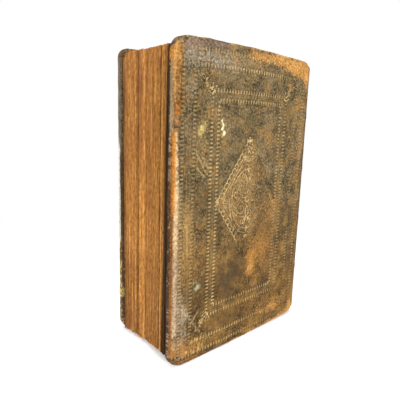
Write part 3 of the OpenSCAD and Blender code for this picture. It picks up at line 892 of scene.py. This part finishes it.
LEAVES, LEAF_ROWS = 12, 22
FLARE_U = COVER_W + 0.2


def fore_edge_u(y):
    """Where the hollow fore-edge lies at a distance y from the middle."""
    radius = (BLOCK_HALF ** 2 + FORE_HOLLOW ** 2) / (2 * FORE_HOLLOW)
    slanted = 1.5 * ramp(y, -12, 16) - 2.4 * ramp(-y, 15.4, 17.8)
    return FORE_U + FORE_HOLLOW - radius + np.sqrt(radius ** 2 - np.clip(np.abs(y), 0, BLOCK_HALF) ** 2) - slanted


def leaf_stations(y):
    """Places along a leaf from its fold to the fore-edge."""
    end, fore = SPINE_U + np.sqrt(FOLD_R ** 2 - (y * 1.2) ** 2), fore_edge_u(y)
    bend = np.linspace(PIVOT_U + 5, PIVOT_U - 6, 9)
    return np.concatenate([[end, FLARE_U + 1.0, FLARE_U - 0.4], bend, [80, 62, 44, 26, 15, 10.5, fore + 0.9, fore]])


def closed_sheet(faces, flip):
    """The points and quads of a thin sheet closed round its edges, from the point grids of its two faces."""
    loop = np.concatenate([faces[0], faces[1][:, ::-1]], 1)
    rows, columns = loop.shape[:2]
    k = np.arange(columns // 2 - 1)
    tail = np.stack([k, k + 1, columns - 2 - k, columns - 1 - k], 1)
    tail, head = (tail, tail[:, ::-1]) if flip else (tail[:, ::-1], tail)
    return loop.reshape(-1, 3), np.vstack([grid_quads(rows, columns, flip, True), tail, (rows - 1) * columns + head])


def gathering(name, y0, y1, seed, pinch):
    """One sewn gathering as separate leaves, in one mesh. y0 and y1 are its faces, y0 nearer the middle."""
    rng = np.random.default_rng(seed)
    thick = (y1 - y0) / LEAVES
    group = np.clip(rng.normal(0.25, 0.22), 0, 0.8)
    group_shift, group_tone = rng.normal(0, 0.18), rng.normal(0, 0.13)
    points, quads, paint = [], [], []
    for leaf in range(LEAVES):
        middle = y0 + (leaf + 0.5) * thick
        half = thick * rng.uniform(0.36, 0.49)
        fore, u = fore_edge_u(middle), leaf_stations(middle)
        u[-2:] += group_shift + rng.normal(0, 0.20) + (0.5 if rng.random() < 0.1 else 0)
        z0 = BLOCK_Z0 - 0.5 + abs(rng.normal(0, 0.14))
        z1 = BLOCK_Z1 - 0.3 - abs(rng.normal(0, 0.14))
        z = np.linspace(z0, z1, LEAF_ROWS)
        narrow = 1 - pinch * np.exp(-((u - PIVOT_U) / 3.4) ** 2)
        flare = 1 + 0.2 * ramp(u, FLARE_U - 0.3, FLARE_U + 1.0)
        centre = flare * ((y0 + y1) / 2 + (middle - (y0 + y1) / 2) * narrow)
        uu, zz = np.meshgrid(u, z)
        worn = np.clip((abs(middle) - BLOCK_HALF + 5.5) / 5.5, 0, 1) * (middle > 0)
        zz = zz - (zz - z0) / (z1 - z0) * 4.6 * (1 - math.sqrt(1 - worn ** 2)) * (1 - ramp(uu - fore, 2, 14))
        wave = 0.05 * noise2(uu + 40, zz + 9 * seed, 34, 5)
        uu[:, -2:] += 0.22 * noise2(zz, uu * 0 + leaf * 3.1 + seed * 17, 14, 6)[:, -2:]
        fan = 0.06 * rng.normal() * ramp(-u, -30, -fore)
        faces = [place(uu, centre + side * half * narrow * flare + fan + wave, zz).reshape(*uu.shape, 3)
                 for side in (1, -1)]
        sheet, sheet_quads = closed_sheet(faces, y1 > 0)
        points.append(sheet)
        quads.append(leaf * len(sheet) + sheet_quads)
        at_end = np.maximum(1 - ramp(z - z0, 0, 8), 1 - ramp(z1 - z, 0, 8))
        cut_edge = np.maximum(1 - ramp(u - fore, 0.0, 9.0) * 0.85, 0.8 * at_end[:, None])
        spread = (rng.normal(0, 0.27) + group_tone) * (1 + 0.5 * (1 - ramp(z, 20, 90)))
        tone = np.clip(0.6 + spread - 0.12 * (1 - ramp(z, 8, 64)) + 0.14 * between(z, 36, 96, 20)
                       + 0.2 * ramp(middle, 6, 18) * between(z, 30, 130, 20) - 0.28 * (1 - ramp(z, 5, 70)), 0, 1)
        stain = 0.45 if rng.random() < 0.05 else 0.0
        # Painted shade: leaves near the back cover are darkened at the fore-edge, where the gap beside the cover lies
        # in shade, wider towards the tail.
        hidden = 4.5 + 3.1 * (1 - z / COVER_H) if middle < 0 else 0.6 + 0 * z
        shade = (1 - ramp(BLOCK_HALF - abs(middle), hidden - 0.8, hidden + 0.6))[:, None] * (1 - ramp(u - fore, 0.2, 3.0))
        mauve = np.exp(-((middle - 7.0) / 3.0) ** 2) * ramp(z, 70, 120)
        # The fourth mask holds stains and the painted shade.
        masks = np.stack(np.broadcast_arrays(tone[:, None], np.maximum(group, mauve)[:, None], cut_edge,
                                             np.maximum(stain, 0.9 * shade)), -1)
        paint.append(np.concatenate([masks, masks[:, ::-1]], 1).reshape(-1, 4))
    return add_piece(name, np.vstack(points), np.vstack(quads), PAGES, np.vstack(paint), smooth=False)


def turning_gathering(side, n):
    node = f"{side}_gathering_{n}"
    low, high = box_mm(node)
    near, far = sorted((abs(low[1]), abs(high[1])))
    sign = SIGN[side]
    piece = gathering(f"{node}_leaves", sign * near, sign * far, 10 * n + 4 - sign, 0.3)
    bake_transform(piece)
    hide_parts(node, *([f"{side}_bound_folds"] if n == 1 else []))


def middle_gathering(n):
    node = f"middle_gathering_{n}"
    side = 1 if box_mm(node)[1][1] > 0 else -1
    thick = box_mm("front_gathering_1")[1][1] - box_mm("front_gathering_1")[0][1]
    gap = 0.15
    inner = side * (gap / 2 + (thick + gap) * (n in (1, 4)))
    piece = gathering(f"{node}_leaves", inner, inner + side * thick, 100 + n, 0.12)
    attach(piece, "text_block")
    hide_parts(node)


def flyleaf(side):
    """The free endpaper, from the joint to the fore-edge, as a thin closed sheet."""
    low, high = box_mm(f"{side}_flyleaf")
    middle, half = (abs(low[1]) + abs(high[1])) / 2, 0.1
    sign = SIGN[side]
    fore = fore_edge_u(sign * middle) + 0.6
    u = np.concatenate([np.linspace(JOINT_U - 0.3, PIVOT_U - 6, 12), np.linspace(84, fore, 28)])
    uu, zz = np.meshgrid(u, np.linspace(BLOCK_Z0 + 0.3, BLOCK_Z1 - 0.3, 40))
    if side == "front":
        zz = zz - (zz - zz.min()) / np.ptp(zz) * 5.0 * (1 - ramp(uu - fore, 2, 14))
    sag = 0.05 * noise2(uu, zz, 30, 31 + sign)
    ragged = (uu < fore + 0.9) * 0.5 * noise2(zz, uu * 0, 9, 33 + sign)
    sheet = closed_sheet([place(uu + ragged, sign * (middle + face * half + sag), zz).reshape(*uu.shape, 3)
                          for face in (1, -1)], sign > 0)
    piece = add_piece(f"{side}_flyleaf_sheet", *sheet, ENDPAPER)
    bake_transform(piece)
    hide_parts(f"{side}_flyleaf")


def pastedown(side):
    """The endpaper glued inside a cover, over the edges of the turned-in leather."""
    low, high = box_mm(f"{side}_pastedown")
    sign = SIGN[side]
    lap = 3.5
    uu, zz = np.meshgrid(np.linspace(low[0] - FORE_X - lap, COVER_W - 0.4, 60),
                         np.linspace(low[2] - lap, high[2] + lap, 90))
    margin = np.minimum(uu - uu.min(), np.minimum(zz - zz.min(), zz.max() - zz))
    y = COVER_IN + 0.30 - 0.34 * (1 - ramp(margin, lap - 0.6, lap + 1.2)) + 0.03 * noise2(uu, zz, 8, 51 + sign)
    edge_wave = 0.4 * noise2(zz, uu * 0 + sign * 30, 12, 53) * (1 - ramp(uu - uu.min(), 0, 3))
    piece = add_piece(f"{side}_pastedown_sheet", place(uu + edge_wave, sign * y, zz),
                      grid_quads(*uu.shape, sign < 0), ENDPAPER)
    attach(piece, f"{side}_cover")
    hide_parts(f"{side}_pastedown")


# ------------------------------ spine

SPINE_Z0 = 1.0
SHOULDER = box_mm("spine_leather")[1][1]
BAND_RISE = 1.8
BAND_HALF = 2.0
CAP_R = 1.5


def spine_section():
    """The spine leather's path over both caps: (how far inside the outer surface, z) for each row."""
    z1 = COVER_H - SPINE_Z0
    t = np.linspace(0, math.pi, 9)[:-1]
    inner = np.linspace(6, CAP_R, 4)[:-1]
    low_in, low_z = CAP_R * (1 + np.cos(t)), SPINE_Z0 + CAP_R * (1 - np.sin(t))
    z = np.arange(SPINE_Z0 + CAP_R, z1 - CAP_R, 0.5)
    inside = np.concatenate([np.full(len(inner), 2 * CAP_R), low_in, 0 * z, low_in[::-1], np.full(len(inner), 2 * CAP_R)])
    height = np.concatenate([SPINE_Z0 + inner, low_z, z, z1 + SPINE_Z0 - low_z[::-1], z1 - inner[::-1]])
    return inside, height


def spine_strokes(half_arc):
    """Fillets beside each band and at both ends, with a small flower in each panel."""
    edges = [0] + CORD_Z + [COVER_H]
    fillets = [z + gap for z in CORD_Z for gap in (-4.6, -3.7, 3.7, 4.6)] + [6, 7.2, COVER_H - 7.2, COVER_H - 6]
    out = [line((-half_arc, z), (half_arc, z), 0.3) for z in fillets]
    for low, high in zip(edges, edges[1:]):
        middle = (low + high) / 2
        for angle in range(0, 360, 45):
            out.append(petal((0, middle), angle, 5.4 if angle % 90 == 0 else 3.6, 1.8, 0.34))
        for side in (-1, 1):
            out.append(spiral((side * 8.5, middle), 2.4, 90 + 90 * side, side * 1.2, 0.3))
    return out


def spine_skin():
    reach = SHOULDER - 1.6
    half_angle = math.asin(reach / SPINE_R)
    angle = np.linspace(-half_angle, half_angle, 110)
    inside, height = spine_section()
    aa, zz = np.meshgrid(angle * SPINE_R, height)
    inn = np.broadcast_to(inside[:, None], aa.shape)
    outer = inn < 0.4
    tool = np.zeros(aa.size)
    tool[outer.ravel()] = tooled(spine_strokes(reach), stacked(aa, zz)[outer.ravel()])
    tool = tool.reshape(aa.shape)
    band = sum(np.exp(-np.abs((zz - z) / BAND_HALF) ** 2.6) for z in CORD_Z)
    lumps = 0.18 * noise2(aa, zz, 9, 71) + 0.05 * noise2(aa, zz, 2.2, 72)
    cap = 0.25 * noise2(aa, zz, 5, 73) * (inn > 0.1)
    fade = 1 - 0.85 * ramp(np.abs(aa), reach - 4, reach)
    radius = SPINE_R - inn + BAND_RISE * band * (1 - 0.9 * ramp(np.abs(aa), reach - 3.2, reach - 0.5)) \
        + (lumps - 0.3 * tool) * fade + cap - 0.1
    theta = aa / SPINE_R
    small = noise2(aa, zz, 4, 74, 4)
    away = zz - COVER_H / 2
    zz = zz - np.sign(away) * 1.8 * ramp(np.abs(away), 66, 79) * ramp(np.abs(aa), reach - 7, reach)
    wear = 0.75 * band * (0.8 + 0.6 * small) + 0.4 * ramp(inn, 0.1, 1.2) + 0.55 * noise2(aa, zz, 24, 75) * (0.5 + small)
    wear += 0.5 * (ramp(zz, COVER_H - 8, COVER_H - 2) + 1 - ramp(zz, 2, 8)) * (0.7 + small)
    dark = 0.10 + 0.30 * noise2(aa, zz, 12, 76)
    stain = ColourLayers(aa.shape)
    stain.add(UMBER, 0.42 + 0.5 * noise2(aa, zz, 16, 77))
    stain.add(BROWN, 0.35 + 0.7 * noise2(aa, zz, 20, 78))
    paint = stacked(tool * 0.8, wear, dark, 0.0)
    points = place(SPINE_U + radius * np.cos(theta), radius * np.sin(theta), zz)
    flat = stacked(0.0, zz, 0.0)
    piece = add_piece("spine_skin", points, grid_quads(*aa.shape), LEATHER, paint, tint=stain.rows(), flat=flat)
    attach(piece, "text_block")
    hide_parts("spine_leather")


def joint_skin(side):
    """The leather over a joint, from the cover's face round to the spine."""
    sign = SIGN[side]
    seam_y = SHOULDER - 1.9
    seam_u = SPINE_U + math.sqrt(SPINE_R ** 2 - seam_y ** 2)
    last = [(seam_u + 0.12, seam_y + 0.1), (seam_u + 0.08, seam_y - 0.7)]
    full = np.array([(COVER_W + du, COVER_OUT + dy) for du, dy in (
        (-2.6, -0.16), (-1.8, -0.06), (-1.0, -0.14), (-0.3, -0.45), (0.4, -1.1), (1.0, -1.6), (1.6, -1.9))] + last)
    slim = np.array([(COVER_W + du, COVER_OUT + dy) for du, dy in (
        (-3.8, -0.16), (-2.8, -0.06), (-1.8, -0.25), (-0.9, -0.65), (-0.1, -1.25), (0.7, -1.7), (1.6, -1.95))] + last)
    steps = np.linspace(0, len(full) - 1, 29)
    z = np.linspace(4.2, COVER_H - 4.2, 306)
    share = waist(z)[:, None]
    uu, yy = ((1 - share) * np.interp(steps, np.arange(len(full)), full[:, k])[None, :]
              + share * np.interp(steps, np.arange(len(slim)), slim[:, k])[None, :] for k in (0, 1))
    zz = np.broadcast_to(z[:, None], uu.shape)
    end = np.minimum(zz - z[0], z[-1] - zz)
    tuck = 1 - ramp(end, 0, 3.0)
    lumps = 0.12 * noise2(uu * 2, zz, 5, 81 + sign)
    small = noise2(uu, zz, 4, 83 + sign, 4)
    share = np.broadcast_to(np.linspace(0, 1, len(steps)), uu.shape)
    wear = 0.12 + 0.40 * small + 0.30 * ramp(np.abs(zz - COVER_H / 2), 50, 72)
    dark = 0.1 + 0.3 * ramp(share, 0.6, 0.9)
    paint = stacked(0.0, wear, dark, 0.0)
    stain = ColourLayers(uu.shape)
    stain.add(BROWN, 0.45 + 0.3 * small)
    flat = stacked(0.0, zz, 0.0)
    points = place(uu, sign * (yy - tuck + lumps * ramp(share, 0, 0.2)), bowed(uu, zz))
    piece = add_piece(f"{side}_joint_skin", points, grid_quads(*uu.shape, flip=sign < 0), LEATHER, paint,
                      tint=stain.rows(), flat=flat)
    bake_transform(piece)


def joint_lining(side):
    """The strip that lines the joint inside: down the shoulder, round the fold and back along the board's edge."""
    sign = SIGN[side]
    deep = COVER_OUT - 2.4
    path = [(JOINT_U + 0.15, COVER_IN - 0.3), (JOINT_U + 0.15, deep - 0.5), (JOINT_U, deep),
            (JOINT_U - 0.25, deep - 0.5), (JOINT_U - 0.25, COVER_IN + 0.1)]
    steps = np.linspace(0, len(path) - 1, 17)
    pu = np.interp(steps, range(len(path)), [p[0] for p in path])
    py = np.interp(steps, range(len(path)), [p[1] for p in path])
    uu, zz = np.meshgrid(pu, np.linspace(5, COVER_H - 5, 60))
    yy = np.broadcast_to(py, uu.shape)
    piece = add_piece(f"{side}_joint_lining", place(uu, sign * yy, zz),
                      grid_quads(*uu.shape, flip=sign > 0), ENDPAPER)
    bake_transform(piece)


def headband(node, name):
    """Silk wound round a core: a bead with a ridge for each turn."""
    low, high = box_mm(node)
    z = (low[2] + high[2]) / 2
    thick = (high[2] - low[2]) / 2
    radius = FOLD_R - thick
    reach = math.asin((high[1] - 0.2) / radius)
    turns, per_turn, around = 46, 6, 14
    along = np.linspace(-reach, reach, turns * per_turn)
    ring = np.linspace(0, 2 * math.pi, around, endpoint=False)
    rr, aa = np.meshgrid(ring, along)
    ridge = np.cos(np.linspace(0, turns * 2 * math.pi, len(along)))[:, None]
    r = (thick - 0.06) * (0.93 + 0.07 * ridge) * np.ones_like(rr)
    ends = ramp(reach - np.abs(along), 0, 0.02)[:, None]
    r = r * (0.3 + 0.7 * ends)
    out = radius + r * np.cos(rr)
    points = place(SPINE_U + out * np.cos(aa), out * np.sin(aa), z + r * np.sin(rr))
    quads = list(grid_quads(len(along), around, closed=True))
    quads += [np.arange(around)[::-1], np.arange(around) + (len(along) - 1) * around]
    piece = add_piece(name, points, quads, SILK)
    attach(piece, "text_block")
    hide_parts(node)


# ------------------------------ CAD nodes that stay or are copied

def cad_copy(name, piece_name, material, shape):
    """A piece with a CAD node's mesh, each of its points moved by a function of its place in millimetres."""
    node = frame["nodes"][name]
    mesh = node.data.copy()
    mesh.transform(node.matrix_world)
    for vertex in mesh.vertices:
        vertex.co = [c * MM for c in shape(*(c / MM for c in vertex.co))]
    mesh.materials.clear()
    mesh.materials.append(material)
    return linked(piece_name, mesh)


def bevelled_board(side):
    """The wooden board with its outer face drawn in, so its edges slope under the leather."""
    low, high = box_mm(f"{side}_board")
    face = max(abs(low[1]), abs(high[1]))

    def drawn_in(x, y, z):
        margin = min(x - low[0], high[0] - x, z - low[2], high[2] - z)
        if abs(abs(y) - face) < 0.1 and margin < CORNER_R["fore", "head"] * 0.4:
            x = low[0] + 1.7 + (x - low[0]) * (1 - 4.0 / (high[0] - low[0]))
            z = low[2] + 1.1 + (z - low[2]) * (1 - 2.2 / (high[2] - low[2]))
        return x, y, z

    piece = cad_copy(f"{side}_board", f"{side}_board_wood", BOARD_WOOD, drawn_in)
    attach(piece, f"{side}_cover")
    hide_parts(f"{side}_board")


BAND_COVERS = 0.91   # the share of a cord's half length that lies under its band


def spine_cord(name):
    """A sewing cord with its ends drawn in, so they stay under the ends of its band."""
    piece = cad_copy(name, name + "_under_band", CORD, lambda x, y, z: (x, BAND_COVERS * y, z))
    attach(piece, "text_block")
    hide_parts(name)


def finish_cad_nodes():
    for name, node in frame["nodes"].items():
        for part, material in (("pegs", PEG_WOOD), ("stitch", THREAD), ("slips", CORD), ("core", CORD),
                               ("lining", LINING)):
            if part in name:
                node.data.materials.clear()
                node.data.materials.append(material)


# ------------------------------ stage

def camera():
    az, down, roll = (math.radians(angle) for angle in (40.36, 10.19, 1.59))
    forward = Vector((math.sin(az) * math.cos(down), math.cos(az) * math.cos(down), -math.sin(down)))
    right = Vector((math.cos(az), -math.sin(az), 0))
    up = right.cross(forward)
    right, up = math.cos(roll) * right + math.sin(roll) * up, math.cos(roll) * up - math.sin(roll) * right
    data = bpy.data.cameras.new("camera")
    data.lens, data.sensor_width, data.clip_start = 33.5, 36, 0.01
    data.shift_x, data.shift_y = 0.0092, -0.0205
    view = linked("camera", data)
    view.matrix_world = Matrix((right, up, -forward)).transposed().to_4x4()
    view.location = Vector((FORE_X - 99.3, -COVER_OUT - 132.6, 120.9)) * MM
    bpy.context.scene.camera = view


def stage():
    floor = add_piece("floor", 60.0 * np.array([(-1, -1, 0), (1, -1, 0), (1, 1, 0), (-1, 1, 0)]), [[0, 1, 2, 3]],
                      floor_material(), smooth=False)
    world = bpy.data.worlds.new("studio")
    world.use_nodes = True
    tree = world.node_tree
    lighting, backdrop = tree.nodes["Background"], tree.nodes.new("ShaderNodeBackground")
    for background, strength in ((lighting, 0.45), (backdrop, 1.0)):
        background.inputs["Color"].default_value = (1, 1, 1, 1)
        background.inputs["Strength"].default_value = strength
    ray, pick = tree.nodes.new("ShaderNodeLightPath"), tree.nodes.new("ShaderNodeMixShader")
    for source, target in ((ray.outputs["Is Camera Ray"], pick.inputs[0]), (lighting.outputs[0], pick.inputs[1]),
                           (backdrop.outputs[0], pick.inputs[2]),
                           (pick.outputs[0], tree.nodes["World Output"].inputs["Surface"])):
        tree.links.new(source, target)
    bpy.context.scene.world = world
    for name, at, target_z, size, power in (("window", (-0.75, -0.25, 0.55), 0.08, 0.35, 5.2),
                                            ("front_strip", (-0.22, -0.95, 0.42), 0.08, 0.2, 8.5),
                                            ("front_fill", (0.7, -1.1, 0.8), 0.08, 0.9, 4),
                                            ("back_fill", (0.6, 1.0, 0.8), 0.08, 0.9, 4),
                                            ("overhead", (0.0, 0.0, 1.6), 0, 1.6, 16)):
        data = bpy.data.lights.new(name, "AREA")
        data.shape, data.size, data.energy = "DISK", size, power
        light = linked(name, data)
        light.location = at
        light.rotation_euler = (Vector((0, 0, target_z)) - Vector(at)).to_track_quat("-Z", "Y").to_euler()
    bpy.context.scene.view_settings.view_transform = "Standard"


camera()
stage()
cover_skin("back", 11, BACK_WEAR)
cover_skin("front", 23, FRONT_WEAR)
for book_side in ("front", "back"):
    for number in (1, 2, 3, 4):
        turning_gathering(book_side, number)
    flyleaf(book_side)
    pastedown(book_side)
    joint_skin(book_side)
    joint_lining(book_side)
    bevelled_board(book_side)
for number in (1, 2, 3, 4):
    middle_gathering(number)
spine_skin()
headband("headband_silk", "headband_bead")
headband("tailband_silk", "tailband_bead")
for number in (1, 2, 3, 4):
    spine_cord(f"sewing_cord_{number}")
finish_cad_nodes()
